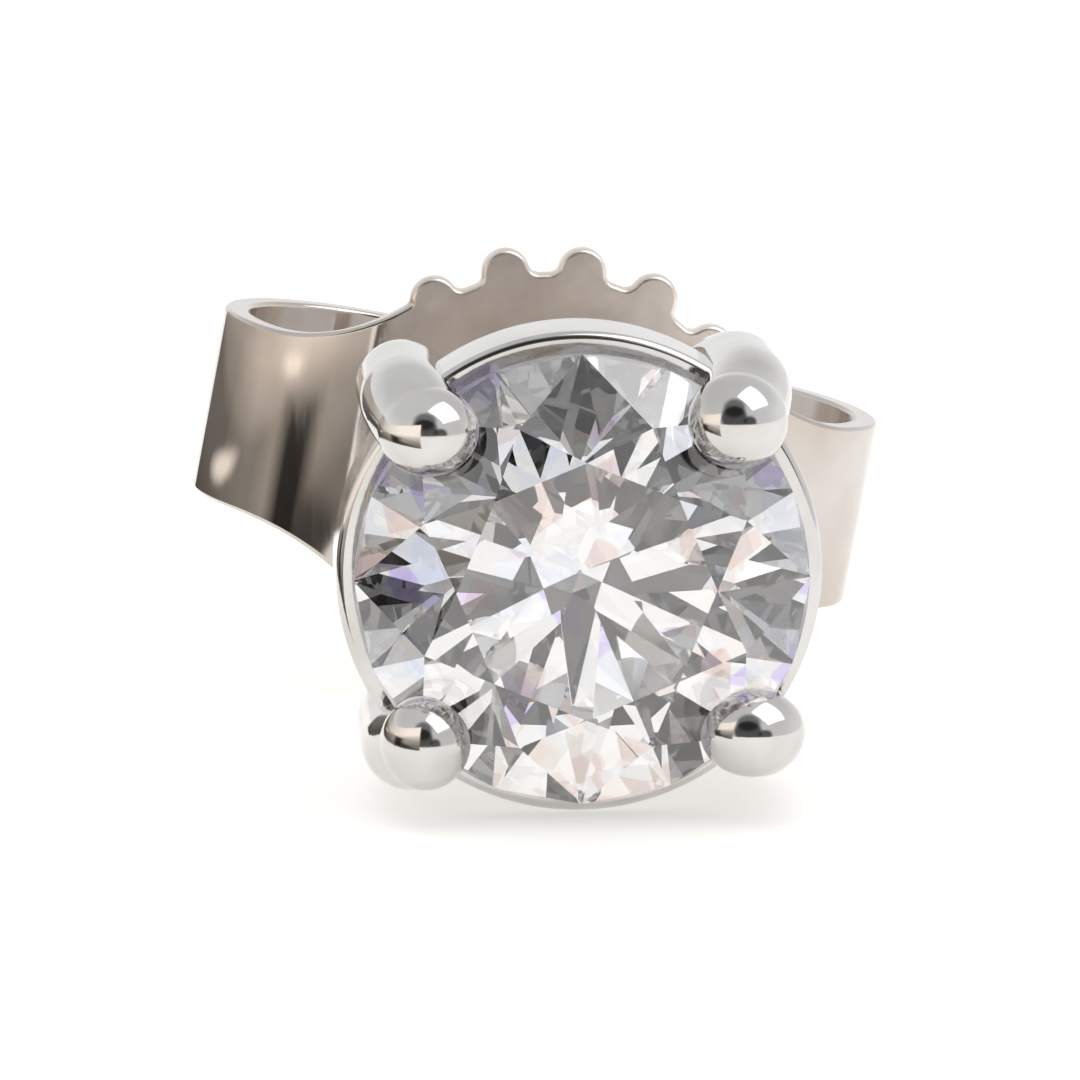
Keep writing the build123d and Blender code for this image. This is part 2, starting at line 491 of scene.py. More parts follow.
def back_gold(finish, size):
    """Pressed sheet, polished on its wings and satin on the plate's front and inside the curls.
    The plate's paler gold is partly painted light, and the curls' near-white insides are painted
    light.
    """
    material = gold(
        "pressed_white_gold",
        finish.back_bright,
        finish.back_worn,
        patches=700,
        polish=finish.back_polish,
        spread=0.08,
        stretch=(1.0, 1.0, 0.08),
        scratch=0.0000003,
    )
    plate_rough, inside_rough, inside_painted_lift = 0.36, 0.95, 0.12
    tree = material.node_tree
    shader = tree.nodes["Principled BSDF"]
    place = add_node(tree, "TexCoord").outputs["Object"]
    middle = girdle_centre(size) + ALONG * size.back_depth * MM
    level = add_node(
        tree,
        "VectorRotate",
        {"Vector": place, "Center": middle, "Angle": -size.scallop_pitch / 2},
        rotation_type="Y_AXIS",
    )
    parts = add_split(tree, add_vector_maths(tree, "SUBTRACT", level.outputs[0], middle))
    side = add_maths(tree, "ABSOLUTE", parts["X"])
    curl_start = size.curl_middle * MM
    past_start = add_maths(tree, "SUBTRACT", side, curl_start)
    behind = add_maths(tree, "SUBTRACT", parts["Y"], size.curl_radius * MM)
    from_curl = add_node(tree, "CombineXYZ", {"X": past_start, "Y": behind}).outputs[0]
    distance = add_vector_maths(tree, "LENGTH", from_curl)
    wall = (size.curl_radius - size.sheet / 2) * MM
    inside = add_range(tree, distance, wall * 1.03, wall * 0.99)
    plate = add_range(tree, side, curl_start * 1.05, curl_start * 0.8)
    rough = shader.inputs["Roughness"].links[0].from_socket
    satin = add_blend(tree, inside, add_blend(tree, plate, rough, plate_rough), inside_rough)
    tree.links.new(satin, shader.inputs["Roughness"])
    tone = shader.inputs["Base Color"].links[0].from_socket
    # Painted light: the plate's paler gold, in soft patches, lifts the shade that falls on it
    # behind the setting.
    mottled = add_handled_tone(
        tree, place, 1500, opaque(finish.plate_gold_and_painted_light), opaque(finish.plate_gold_and_painted_light, 0.8)
    )
    plate_tone = add_mix(tree, plate, tone, mottled)
    # Painted light: the insides of the curls are near-white, which lifts their shade.
    pale = opaque([c ** inside_painted_lift for c in finish.back_bright])
    tree.links.new(add_mix(tree, inside, plate_tone, pale), shader.inputs["Base Color"])
    return material


# Painted fire: places on the stone's front, right and up from its middle in millimetres, where it
# flashes violet or rose, and how far each flash reaches.
PAINTED_VIOLET_FIRE = ((-0.88, 1.66, 0.24), (-1.56, 0.94, 0.22))
PAINTED_ROSE_FIRE = (
    (-0.98, -0.13, 0.2),
    (-0.54, 0.72, 0.2),
    (0.21, 0.92, 0.14),
    (0.9, -0.36, 0.16),
    (-0.54, -0.84, 0.16),
    (1.22, -0.77, 0.16),
)
VIOLET = (0.56, 0.44, 1.0, 1)
PALE_BLUE = (0.80, 0.86, 1.0, 1)
PALE_ROSE = (0.95, 0.85, 0.79, 1)
ROSE = (0.78, 0.55, 0.50, 1)


def diamond(finish, girdle, half_girdle):
    """Clear brilliant with a frosted girdle, and the fire of dispersed light painted as colour in
    its facets.
    """
    material, tree, shader = new_material("diamond")
    place = add_node(tree, "TexCoord").outputs["Object"]
    along = add_split(tree, place)["Y"]
    off_girdle = add_maths(tree, "ABSOLUTE", add_maths(tree, "SUBTRACT", along, girdle.y))
    frost = add_range(tree, off_girdle, half_girdle * 1.02, half_girdle * 0.9, 0.0, 0.35)
    tree.links.new(frost, shader.inputs["Roughness"])

    # Painted fire: one drawn value for each facet, by the way it faces, and one for each small
    # cell, picks its tint.
    facing = add_node(tree, "NewGeometry").outputs["True Normal"]
    facet = add_vector_maths(tree, "MULTIPLY", facing, (40.0, 40.0, 40.0))
    rounded = add_vector_maths(tree, "FLOOR", facet)
    facet_value = add_node(tree, "TexWhiteNoise", {"Vector": rounded}).outputs["Value"]
    cells = add_node(tree, "TexVoronoi", {"Vector": place, "Scale": 2600, "Randomness": 1.0})
    cell_value = add_node(tree, "SeparateColor", {"Color": cells.outputs["Color"]}).outputs[0]
    drawn = add_blend(tree, 0.5, facet_value, cell_value)
    front = add_vector_maths(tree, "MULTIPLY", cells.outputs["Position"], (1, 0, 1))
    for flashes, end in ((PAINTED_VIOLET_FIRE, 0.0), (PAINTED_ROSE_FIRE, 1.0)):
        for right, up, reach in flashes:
            middle = (girdle.x + right * MM, 0, girdle.z + up * MM)
            away = add_vector_maths(tree, "DISTANCE", front, middle)
            flash = add_range(tree, away, 0.8 * reach * MM, reach * MM, 1.0, 0.0)
            drawn = add_blend(tree, flash, drawn, end)
    ramp = add_node(tree, "ValToRGB", {"Fac": drawn})
    ramp.color_ramp.interpolation = "CONSTANT"
    ramp.color_ramp.elements.remove(ramp.color_ramp.elements[1])
    ramp.color_ramp.elements[0].color = VIOLET
    for position, tint in (
        (0.12, PALE_BLUE),
        (0.25, opaque(finish.diamond_tint)),
        (0.72, PALE_ROSE),
        (0.86, ROSE),
    ):
        ramp.color_ramp.elements.new(position).color = tint
    tree.links.new(ramp.outputs["Color"], shader.inputs["Base Color"])
    shader.inputs["Transmission Weight"].default_value = 1.0
    shader.inputs["IOR"].default_value = 2.417
    return material


# ---- Setting ------------------------------------------------------------------------------------
class EARRING_OT_rail(bpy.types.Operator):
    """Makes the round rail behind the stone's edge"""

    bl_idname = "earring.rail"
    bl_label = "Rail"

    def execute(self, context):
        size, finish = chosen(context)
        deselect()
        bpy.ops.mesh.primitive_cylinder_add(
            vertices=224,
            radius=size.rail_radius,
            depth=size.rail_length,
            end_fill_type="NOTHING",
            location=(0, size.rail_depth + size.rail_length / 2, 0),
            rotation=(pi / 2, 0, 0),
        )
        rail = name_piece("rail")
        open_mesh("FACE")
        tidy_mesh()
        close_mesh()
        finish_with(rail, "SOLIDIFY", thickness=size.rail_width, offset=-1)
        round_edges(rail, size.rail_rounding, segments=5, from_angle=60)
        smooth(rail, sharp_from=50)
        add_to_setting(rail, size, finish)
        return {"FINISHED"}


def draw_wire(points, bends, steps):
    """Draws the selected ring along straight runs, and spins it round the bend at each corner.

    The last run is drawn in steps.
    """
    here = points[0]
    for before, corner, after, bend in zip(points, points[1:], points[2:], bends):
        heading = (corner - before).normalized()
        leaving = (after - corner).normalized()
        turn = heading.angle(leaving)
        tangent = bend * tan(turn / 2)
        axis = heading.cross(leaving).normalized()
        start = corner - heading * tangent
        extrude(start - here)
        spin(steps, turn, start + axis.cross(heading) * bend, axis)
        here = corner + leaving * tangent
    for _ in range(steps):
        extrude((points[-1] - here) / steps)


def stone_cutter(size):
    """The room that the stone takes between the prongs, as a lathe-turned cutter."""
    gap = size.seat_gap
    half = size.girdle / 2 + gap
    rim = size.stone_radius + gap
    table = size.table_share * size.stone_radius
    crown = (size.stone_radius - table) * tan(size.crown_angle)
    deselect()
    bpy.ops.mesh.primitive_cylinder_add(
        vertices=160, radius=rim, depth=2 * half, rotation=(pi / 2, 0, 0)
    )
    cutter = name_piece("stone_cutter")
    open_mesh("FACE")
    tidy_mesh()
    select_where("faces", lambda face: face.normal.y < -0.9)
    extrude((0, -(crown + size.girdle / 2 - half), 0))
    resize(((table + gap) / rim,) * 3, (0, -(crown + size.girdle / 2), 0))
    extrude((0, -2 * size.bead_radius, 0))
    select_where("faces", lambda face: face.normal.y > 0.9)
    extrude((0, rim * tan(size.lower_angle), 0))
    bpy.ops.mesh.merge(type="CENTER")
    tidy_mesh()
    close_mesh()
    return cutter


def lean_bead(size, lean, steps=12):
    """Pushes the bead in over the stone, with the bend spread along the prong's neck."""
    neck = 1.4 * size.bead_radius
    for step in range(steps):
        depth = -size.bead_rise + neck * (1 - step / steps)
        select_where("verts", lambda v: v.co.y < depth)
        turn_selection(-lean / steps, "Z", (size.prong_line, depth, 0))


def shape_bead(size, turn, stretch, steps=12):
    """Makes one bead wider or taller than round, easing off along the prong's neck."""
    wider, taller = (value ** (1 / steps) for value in stretch)
    middle = (size.bead_line * cos(turn), -size.bead_rise, size.bead_line * sin(turn))
    for step in range(steps):
        depth = -size.bead_rise + size.bead_radius * (1 - step / steps)
        select_where("verts", lambda v: v.co.y < depth)
        resize((wider, 1, taller), middle)


class EARRING_OT_prongs(bpy.types.Operator):
    """Makes one beaded prong, and sets four of them round the stone"""

    bl_idname = "earring.prongs"
    bl_label = "Prongs"

    ring_points = 44
    bend_steps = 10
    bead_rings = 12
    # Each bead's turn from the right, anticlockwise as seen from the front, how far it leans in
    # over the stone in degrees, and its width and height over a round bead's.
    beads = (
        ("prong_1", 47, 4, (1.04, 1.0)),
        ("prong_2", 135, 13, (1.05, 0.93)),
        ("prong_3", 225, 4, (0.93, 0.99)),
        ("prong_4", 318, 0, (1.09, 0.93)),
    )

    def draw_prong(self, size):
        def point(radius, depth):
            return Vector((radius, depth, 0))

        points = [
            point(size.base_radius - size.prong_radius, size.base_depth + size.base_length / 2),
            point(size.prong_line, size.prong_corner),
            point(size.prong_line, size.rail_depth),
            point(size.bead_line, -size.bead_rise),
        ]
        heading = points[1] - points[0]
        deselect()
        bpy.ops.mesh.primitive_circle_add(
            vertices=self.ring_points,
            radius=size.prong_radius,
            fill_type="NOTHING",
            location=points[0],
            rotation=heading.to_track_quat("Z", "Y").to_euler(),
        )
        prong = name_piece("prong")
        open_mesh("VERT")
        bpy.ops.mesh.select_all(action="SELECT")

        # The wire ends where it meets the bead, and the bead is drawn ring by ring to its pole.
        bead_middle = points[-1]
        last_run = (points[-1] - points[-2]).normalized()
        meeting = asin(size.prong_radius / size.bead_radius)
        points[-1] = bead_middle - last_run * size.bead_radius * cos(meeting)
        draw_wire(points, (size.prong_bend, size.neck_bend), self.bend_steps)
        here = points[-1]
        radius = size.prong_radius
        for ring in range(1, self.bead_rings):
            lift = meeting + (pi - meeting) * ring / self.bead_rings
            there = bead_middle - last_run * size.bead_radius * cos(lift)
            extrude(there - here)
            new_radius = size.bead_radius * sin(lift)
            resize((new_radius / radius,) * 3, there)
            here, radius = there, new_radius
        extrude(bead_middle + last_run * size.bead_radius - here)
        bpy.ops.mesh.merge(type="CENTER")
        bpy.ops.mesh.select_all(action="DESELECT")
        bpy.ops.mesh.select_non_manifold()
        bpy.ops.mesh.edge_face_add()
        tidy_mesh()
        close_mesh()
        return prong

    def execute(self, context):
        size, finish = chosen(context)
        first = self.draw_prong(size)
        cutter = stone_cutter(size)
        for name, degrees, lean, stretch in self.beads:
            turn = radians(degrees)
            select_only(first)
            bpy.ops.object.duplicate(linked=False)
            prong = context.object
            prong.name = prong.data.name = name
            open_mesh("VERT")
            lean_bead(size, radians(lean))
            close_mesh()
            prong.rotation_euler = (0, -turn, 0)
            bpy.ops.object.transform_apply(rotation=True)
            open_mesh("VERT")
            shape_bead(size, turn, stretch)
            close_mesh()
            finish_with(prong, "BOOLEAN", operation="DIFFERENCE", solver="EXACT", object=cutter)
            smooth(prong, sharp_from=40, weighted=False)
            add_to_setting(prong, size, finish)
        for leftover in (first, cutter):
            bpy.data.objects.remove(leftover)
        return {"FINISHED"}


class EARRING_OT_base_and_post(bpy.types.Operator):
    """Turns the base where the prongs meet, with its foot and the notched post"""

    bl_idname = "earring.base_and_post"
    bl_label = "Base and post"

    def execute(self, context):
        size, finish = chosen(context)
        base_end = size.base_depth + size.base_length
        post_start = base_end + size.foot_length
        tip = post_start + size.post_length
        notch = tip - size.notch_from_tip
        deselect()
        bpy.ops.mesh.primitive_cylinder_add(
            vertices=128,
            radius=size.base_radius,
            depth=size.base_length,
            location=(0, base_end - size.base_length / 2, 0),
            rotation=(pi / 2, 0, 0),
        )
        piece = name_piece("base_and_post")
        open_mesh("FACE")
        tidy_mesh()
        select_where("faces", lambda face: face.normal.y > 0.9)
        bpy.ops.mesh.inset(thickness=size.base_radius - size.foot_radius)

        # Depth and radius of each ring from the foot to the tip.
        radius = size.foot_radius
        here = base_end
        for depth, new_radius in (
            (post_start, size.post_radius),
            (notch - size.notch_reach, size.post_radius),
            (notch, size.post_radius - size.notch_cut),
            (notch + size.notch_reach, size.post_radius),
            (tip, size.post_radius),
        ):
            extrude((0, depth - here, 0))
            resize((new_radius / radius,) * 3, (0, depth, 0))
            here, radius = depth, new_radius
        tidy_mesh()

        def on_ring(edge, depth, radius):
            return all(
                abs(v.co.y - depth) < TOUCH and abs(v.co.xz.length - radius) < TOUCH
                for v in edge.verts
            )

        bpy.ops.mesh.select_mode(type="EDGE")
        select_where("edges", lambda edge: on_ring(edge, tip, size.post_radius))
        bpy.ops.mesh.bevel(offset=size.tip_rounding, segments=8, affect="EDGES")
        for depth in (size.base_depth, base_end):
            select_where("edges", lambda edge: on_ring(edge, depth, size.base_radius))
            bpy.ops.mesh.bevel(offset=size.base_rounding, segments=6, affect="EDGES")
        close_mesh()
        smooth(piece, sharp_from=25)
        add_to_setting(piece, size, finish)
        return {"FINISHED"}


# ---- Butterfly back -----------------------------------------------------------------------------
class EARRING_OT_butterfly_back(bpy.types.Operator):
    """Draws a quarter of the pressed sheet, curls its wing, and mirrors it to the whole back"""

    bl_idname = "earring.butterfly_back"
    bl_label = "Butterfly back"

    arc_steps = 12
    # Radius and turn of each further arc of a curl's middle line, and the steps it is drawn in.
    curl_arcs = ((1.32, 90, 18), (1.23, 90, 18), (0.62, 75, 12))

    def polar(self, radius, turn):
        """A point on the plate, turned anticlockwise from the right."""
        return Vector((radius * cos(turn), 0, radius * sin(turn)))

    def flare_curve(self, size):
        """The edge that narrows from the plate to the wing."""
        start = Vector((size.flare_reach, 0, size.flare_half))
        end = Vector((size.wing_narrow, 0, size.wing_half))
        handle = (end - start).length / 3
        falling = Vector((1, 0, -1)).normalized()
        return interpolate_bezier(start, start + falling * handle, end - ACROSS * handle, end, 80)

    def half_width(self, curve, reach):
        """Half the sheet's width at a distance from the post's line."""
        for near, far in zip(curve, curve[1:]):
            if far.x >= reach:
                return near.z + (far.z - near.z) * (reach - near.x) / (far.x - near.x)
        return curve[-1].z

    def draw_quarter(self, size, curve):
        """The plate's outline from its top scallop down to the wing, in one line of edges."""
        # The two lowest scallops rest on the surface, as the rail does. All these are distances
        # from the plate's middle: of a scallop's middle, of its end, and of the middle of the
        # rounding between two scallops.
        hub = (size.rail_radius - size.scallop_end) / cos(size.scallop_pitch / 2)
        outline = size.scallop_end + hub
        fillet = outline - size.scallop_cut + size.root_rounding
        reach = size.scallop_end + size.root_rounding
        # Turn between a scallop's middle and a rounding's, seen from the plate's middle.
        off = acos((hub**2 + fillet**2 - reach**2) / (2 * hub * fillet))

        def way(start, end):
            return atan2(end.z - start.z, end.x - start.x)

        facing = -ALONG
        deselect()
        bpy.ops.mesh.primitive_plane_add(size=0.1, location=(0, 0, outline))
        quarter = name_piece("scalloped_back")
        open_mesh("VERT")
        bpy.ops.mesh.select_all(action="SELECT")
        bpy.ops.mesh.merge(type="CENTER")
        turn = pi / 2
        scallops = size.scallops // 2
        for n in range(scallops):
            middle = self.polar(hub, turn)
            root = self.polar(fillet, turn - off)
            next_root = self.polar(fillet, turn - size.scallop_pitch + off)
            lean = turn - way(middle, root)
            spin(self.arc_steps, -lean, middle, facing)
            root_turn = (way(root, middle) - way(root, Vector())) % (2 * pi)
            root_turn = min(root_turn, 2 * pi - root_turn)
            spin(self.arc_steps // 2, root_turn, root, facing)
            spin(2, -(size.scallop_pitch - 2 * off), (0, 0, 0), facing)
            spin(self.arc_steps // 2, root_turn, next_root, facing)
            turn -= size.scallop_pitch
            if n < scallops - 1:
                spin(self.arc_steps, -lean, self.polar(hub, turn), facing)
        # The last scallop runs on until it meets the flare, and the flare until it nears the curl.
        middle = self.polar(hub, turn)
        near_curl = size.curl_middle - 0.02
        beyond = [p for p in curve if (p - middle).length >= size.scallop_end]
        start_way = turn + lean
        last_turn = start_way - way(middle, beyond[0])
        spin(2 * self.arc_steps, -last_turn, middle, facing)
        here = middle + (beyond[0] - middle).normalized() * size.scallop_end
        stations = [p for p in beyond[1::3] if p.x < near_curl]
        stations.append(Vector((size.curl_middle, 0, self.half_width(curve, size.curl_middle))))
        stations += [Vector((size.curl_middle, 0, 0)), Vector((size.bore_radius, 0, 0))]
        for station in stations:
            extrude(station - here)
            here = station
        spin(24, pi / 2, (0, 0, 0), facing)
        extrude((0, 0, outline - size.bore_radius))
        merge_doubles()
        bpy.ops.mesh.edge_face_add()
        extrude((0, size.sheet, 0))
        return quarter

    def curl_wing(self, size, curve):
        """Rolls the sheet on from the plate's straight end, back to the post."""
        bpy.ops.mesh.select_mode(type="FACE")
        select_where(
            "faces",
            lambda f: abs(abs(f.normal.x) - 1) < TOUCH
            and abs(f.calc_center_median().x - size.curl_middle) < TOUCH,
        )
        here = Vector((size.curl_middle, size.sheet / 2, 0))
        heading = ACROSS.copy()
        half = self.half_width(curve, size.curl_middle)
        first_arc = (size.curl_radius, 90, 20)
        for arc in (first_arc, *self.curl_arcs):
            radius, degrees, steps = arc
            inwards = UP.cross(heading)
            centre = here + inwards * radius
            turn = radians(degrees)
            if arc is first_arc:
                for step in range(1, steps + 1):
                    extrude()
                    turn_selection(turn / steps, "Z", centre)
                    reach = size.curl_middle + radius * sin(turn * step / steps)
                    new_half = self.half_width(curve, reach)
                    resize((1, 1, new_half / half), (0, 0, 0))
                    half = new_half
            else:
                spin(steps, turn, centre, UP)
            here = centre - inwards * radius * cos(turn) + heading * radius * sin(turn)
            heading = heading * cos(turn) + inwards * sin(turn)

    def execute(self, context):
        size, finish = chosen(context)
        curve = self.flare_curve(size)
        back = self.draw_quarter(size, curve)
        self.curl_wing(size, curve)

        # The faces on the two mirror planes go, and so the halves meet in one sheet.
        select_where(
            "faces",
            lambda f: all(abs(v.co.x) < TOUCH for v in f.verts)
            or all(abs(v.co.z) < TOUCH for v in f.verts),
        )
        bpy.ops.mesh.delete(type="FACE")
        close_mesh()
        finish_with(back, "MIRROR", use_axis=(True, False, True), merge_threshold=TOUCH)
        open_mesh("FACE")
        tidy_mesh()
        bpy.ops.mesh.dissolve_limited(angle_limit=radians(0.2), delimit=set())
        tidy_mesh()
        close_mesh()
        round_edges(back, size.sheet_rounding, segments=3, from_angle=50)
        back.rotation_euler = (0, size.scallop_pitch / 2, 0)
        back.location = (0, size.back_depth, 0)
        bpy.ops.object.transform_apply(location=True, rotation=True)
        smooth(back, sharp_from=50)
        bring_to_size(back, size)
        hand_over(back, "back", "butterfly_back", back_gold(finish, size))
        return {"FINISHED"}


# ---- Stone --------------------------------------------------------------------------------------
class EARRING_OT_stone(bpy.types.Operator):
    """Gives the cut stone its diamond"""

    bl_idname = "earring.stone"
    bl_label = "Stone"

    def execute(self, context):
        size, finish = chosen(context)
        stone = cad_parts["stone"]
        clear = diamond(finish, girdle_centre(size), size.girdle / 2 * MM)
        for place in stone.material_slots:
            place.material = clear
        if not stone.material_slots:
            stone.data.materials.append(clear)
        return {"FINISHED"}


# ---- Stage --------------------------------------------------------------------------------------
class EARRING_OT_stage(bpy.types.Operator):
    """Sets up the pale floor, the soft light and the camera"""

    bl_idname = "earring.stage"
    bl_label = "Stage"

    # Each dark place's turn from the camera's side, its lift above the floor, the half-widths of
    # the dark and of its soft edge in degrees, and the share of light that is left. The metal
    # sees one set and the stone another.
    metal_dark = ((-13, 16, 25, 33, 0.13), (-13, 40, 18, 27, 0.28), (24, 5, 11, 17, 0.14))
    stone_dark = ((0, 20, 20, 30, 0.03), (-26, 8, 14, 22, 0.05), (24, 6, 10, 18, 0.06))

    # The backdrop is a glowing sheet put where only the left wing's reflections see it. Its
    # pattern is painted reflection, painted shade and painted highlights.
    # The backdrop stands round the middle of the left wing. Lengths are in millimetres from the
    # girdle's middle, and turns in degrees from the front to the left.
    wing_middle = Vector((-2.46, 5.65, 0))
    backdrop_reach, backdrop_low, backdrop_high = 11.0, -2.15, 4.4
    backdrop_start, backdrop_sweep = 4, 154
    backdrop_brown = (1.0, 0.91, 0.82)
    # The brown's depth at each height, as shares of the ramp from low to high: painted shade,
    # darker low and paler high.
    painted_shade_by_height = ((0.0, 0.28), (0.3, 0.46), (0.7, 0.52), (1.0, 0.9))
    # Each painted highlight spot's turn in radians and its lift, its half-width and half-height,
    # how much its lift falls with its turn, and its strength.
    painted_highlight_spots = ((1.08, 1.15, 0.24, 0.17, -0.76, 0.9), (2.03, 0.045, 0.33, 0.22, 0.95, 2.0))

    # The camera's distance from the girdle, the point that it aims at in millimetres from there,
    # its turn to the right and lift in degrees, and its lens.
    camera_distance = 85
    camera_aim = Vector((-0.38, 0, 0.36))
    camera_turn, camera_lift = -3.8, 10.3
    camera_lens = 315

    def direction(self, turn, lift):
        """A direction by its turn to the right of the front and its lift, in degrees."""
        turn, lift = radians(turn), radians(lift)
        return Vector((sin(turn) * cos(lift), -cos(turn) * cos(lift), sin(lift)))

    def lay_floor(self, finish):
        """A pale floor, lit a little from below as on a light table."""
        deselect()
        bpy.ops.mesh.primitive_circle_add(vertices=96, radius=0.6, fill_type="NGON")
        floor = name_piece("floor")
        material, tree, shader = new_material("pale_floor")
        place = add_node(tree, "TexCoord").outputs["Object"]
        grain = add_node(tree, "TexNoise", {"Vector": place, "Scale": 40, "Detail": 3})
        white = finish.floor_white
        tone = add_mix(tree, grain.outputs["Fac"], opaque(white), opaque(white, 0.98))
        tree.links.new(tone, shader.inputs["Base Color"])
        shader.inputs["Roughness"].default_value = 0.9
        shader.inputs["Specular IOR Level"].default_value = 0.1
        shader.inputs["Emission Color"].default_value = (1.0, 0.98, 0.95, 1)
        through_stone = add_node(tree, "LightPath").outputs["Is Transmission Ray"]
        glow = add_range(tree, through_stone, 0, 1, finish.floor_glow, 0.75 * finish.floor_glow)
        tree.links.new(glow, shader.inputs["Emission Strength"])
        floor.data.materials.append(material)

    def room_light(self, tree, way, low_front, ceiling, sweep, dark_places):
        """The room's light by direction, less what its dark places take."""
        parts = add_split(tree, way)
        rear = add_range(tree, parts["Z"], 0.2, 0.6, sweep, ceiling)
        front = add_range(tree, parts["Z"], 0.2, 0.75, low_front, ceiling)
        behind = add_range(tree, parts["Y"], -0.35, 0.25)
        light = add_blend(tree, behind, front, rear)
        for turn, lift, inner, outer, left in dark_places:
            near = add_vector_maths(tree, "DOT_PRODUCT", way, self.direction(turn, lift))
            dimmed = add_range(tree, near, cos(radians(outer)), cos(radians(inner)), 1.0, left)
            light = add_maths(tree, "MULTIPLY", light, dimmed)
        return light

    def light_room(self, context):
        """A white sweep behind, a greyer room overhead, and the dark side where the camera is."""
        world = bpy.data.worlds.new("soft_room")
        context.scene.world = world
        world.use_nodes = True
        tree = world.node_tree
        tree.nodes.clear()
        way = add_node(tree, "TexCoord").outputs["Generated"]
        rays = add_node(tree, "LightPath").outputs
        for_metal = self.room_light(tree, way, 0.80, 0.74, 0.96, self.metal_dark)
        for_stone = self.room_light(tree, way, 0.07, 0.43, 0.90, self.stone_dark)
        strength = add_blend(tree, rays["Is Transmission Ray"], for_metal, for_stone)
        cool_white = {"Color": (0.99, 0.995, 1.0, 1), "Strength": strength}
        room = add_node(tree, "Background", cool_white).outputs[0]
        plain = add_node(tree, "Background", {"Color": (1, 1, 1, 1), "Strength": 1.0}).outputs[0]
        both = add_node(tree, "MixShader", {0: rays["Is Camera Ray"], 1: room, 2: plain})
        add_node(tree, "OutputWorld", {"Surface": both.outputs["Shader"]})

    def hang_light(self, name, turn, lift, size, power):
        """A square soft light, aimed at the earring."""
        bpy.ops.object.light_add(type="AREA", location=self.direction(turn, lift) * 0.15)
        light = bpy.context.object
        light.name = light.data.name = name
        light.data.size = size
        light.data.energy = power
        light.rotation_euler = (-light.location).to_track_quat("-Z", "Y").to_euler()
        return light

    def brown_backdrop(self, size):
        """A glowing warm brown that paints reflections for the left wing: painted shade, paler
        upwards, a dark slot and a dark foot as painted dark reflections, and two painted
        highlights.
        """
        material, tree, shader = new_material("brown_backdrop")
        tree.nodes.remove(shader)

        def worked_out(operation, *values):
            return add_maths(tree, operation, *values)

        # Turn to the left from the front in radians, and lift in tenths of the reach.
        place = add_node(tree, "TexCoord").outputs["Object"]
        middle = girdle_centre(size) + self.wing_middle * MM
        parts = add_split(tree, add_vector_maths(tree, "SUBTRACT", middle, place))
        turn = worked_out("ARCTAN2", parts["X"], parts["Y"])
        lift = worked_out("MULTIPLY", parts["Z"], -10 / (self.backdrop_reach * MM))
        above = worked_out("SUBTRACT", lift, turn)

        # The upright slot, which ends at a slant, and the foot to the right of it: both are
        # painted dark reflections.
        slot_dark, foot_dark = 0.085, 0.26
        from_slot = worked_out("ABSOLUTE", worked_out("SUBTRACT", turn, radians(49)))
        beside_slot = add_range(tree, from_slot, 0.12, 0.33, slot_dark)
        above_slot = add_range(tree, above, -0.44, -0.14, slot_dark)
        slot = worked_out("MAXIMUM", beside_slot, above_slot)
        past_foot = worked_out("SUBTRACT", worked_out("MULTIPLY_ADD", lift, -0.49, turn), 0.928)
        above_foot = add_range(tree, past_foot, 0.1, -0.08, foot_dark)
        beside_foot = add_range(tree, turn, 1.0, 1.2, foot_dark)
        foot = worked_out("MAXIMUM", above_foot, beside_foot)

        # Painted shade: it darkens towards its left end and in its lower left corner.
        left = add_range(tree, turn, 1.6, 2.1, 1.0, 0.6)
        beside_corner = add_range(tree, turn, 1.15, 1.45, 1.0, 0.65)
        above_corner = add_range(tree, lift, 0.45, 0.7, 0.65, 1.0)
        corner = worked_out("MAXIMUM", beside_corner, above_corner)
        dark = worked_out("MINIMUM", slot, foot)
        strength = worked_out("MULTIPLY", dark, worked_out("MULTIPLY", left, corner))

        # A painted highlight along the top edge, and the painted highlight spots, add to it.
        top = add_range(tree, above, -0.3, 0.15, 0.0, 0.5)
        top = worked_out("MULTIPLY", top, add_range(tree, turn, 1.6, 0.6))
        strength = worked_out("ADD", strength, top)
        for spot_turn, spot_lift, wide, high, slant, power in self.painted_highlight_spots:
            aside = worked_out("SUBTRACT", turn, spot_turn)
            over = worked_out("SUBTRACT", lift, spot_lift)
            over = worked_out("MULTIPLY_ADD", aside, slant, over)
            oval = {"X": worked_out("DIVIDE", aside, wide), "Y": worked_out("DIVIDE", over, high)}
            flat = add_node(tree, "CombineXYZ", oval).outputs[0]
            away = add_vector_maths(tree, "LENGTH", flat)
            painted_shine = add_range(tree, away, 1.0, 0.36, 0.0, power)
            strength = worked_out("ADD", strength, painted_shine)

        ramp = add_node(tree, "ValToRGB", {"Fac": add_range(tree, lift, -1.05, 1.35)})
        stops = ramp.color_ramp.elements
        (_, lowest), *between, (_, highest) = self.painted_shade_by_height
        stops[0].color = opaque(self.backdrop_brown, lowest)
        stops[1].color = opaque(self.backdrop_brown, highest)
        for height, depth in between:
            stops.new(height).color = opaque(self.backdrop_brown, depth)
        glow = add_node(tree, "Emission", {"Color": ramp.outputs["Color"], "Strength": strength})
        tree.links.new(glow.outputs[0], tree.nodes["Material Output"].inputs["Surface"])
        return material

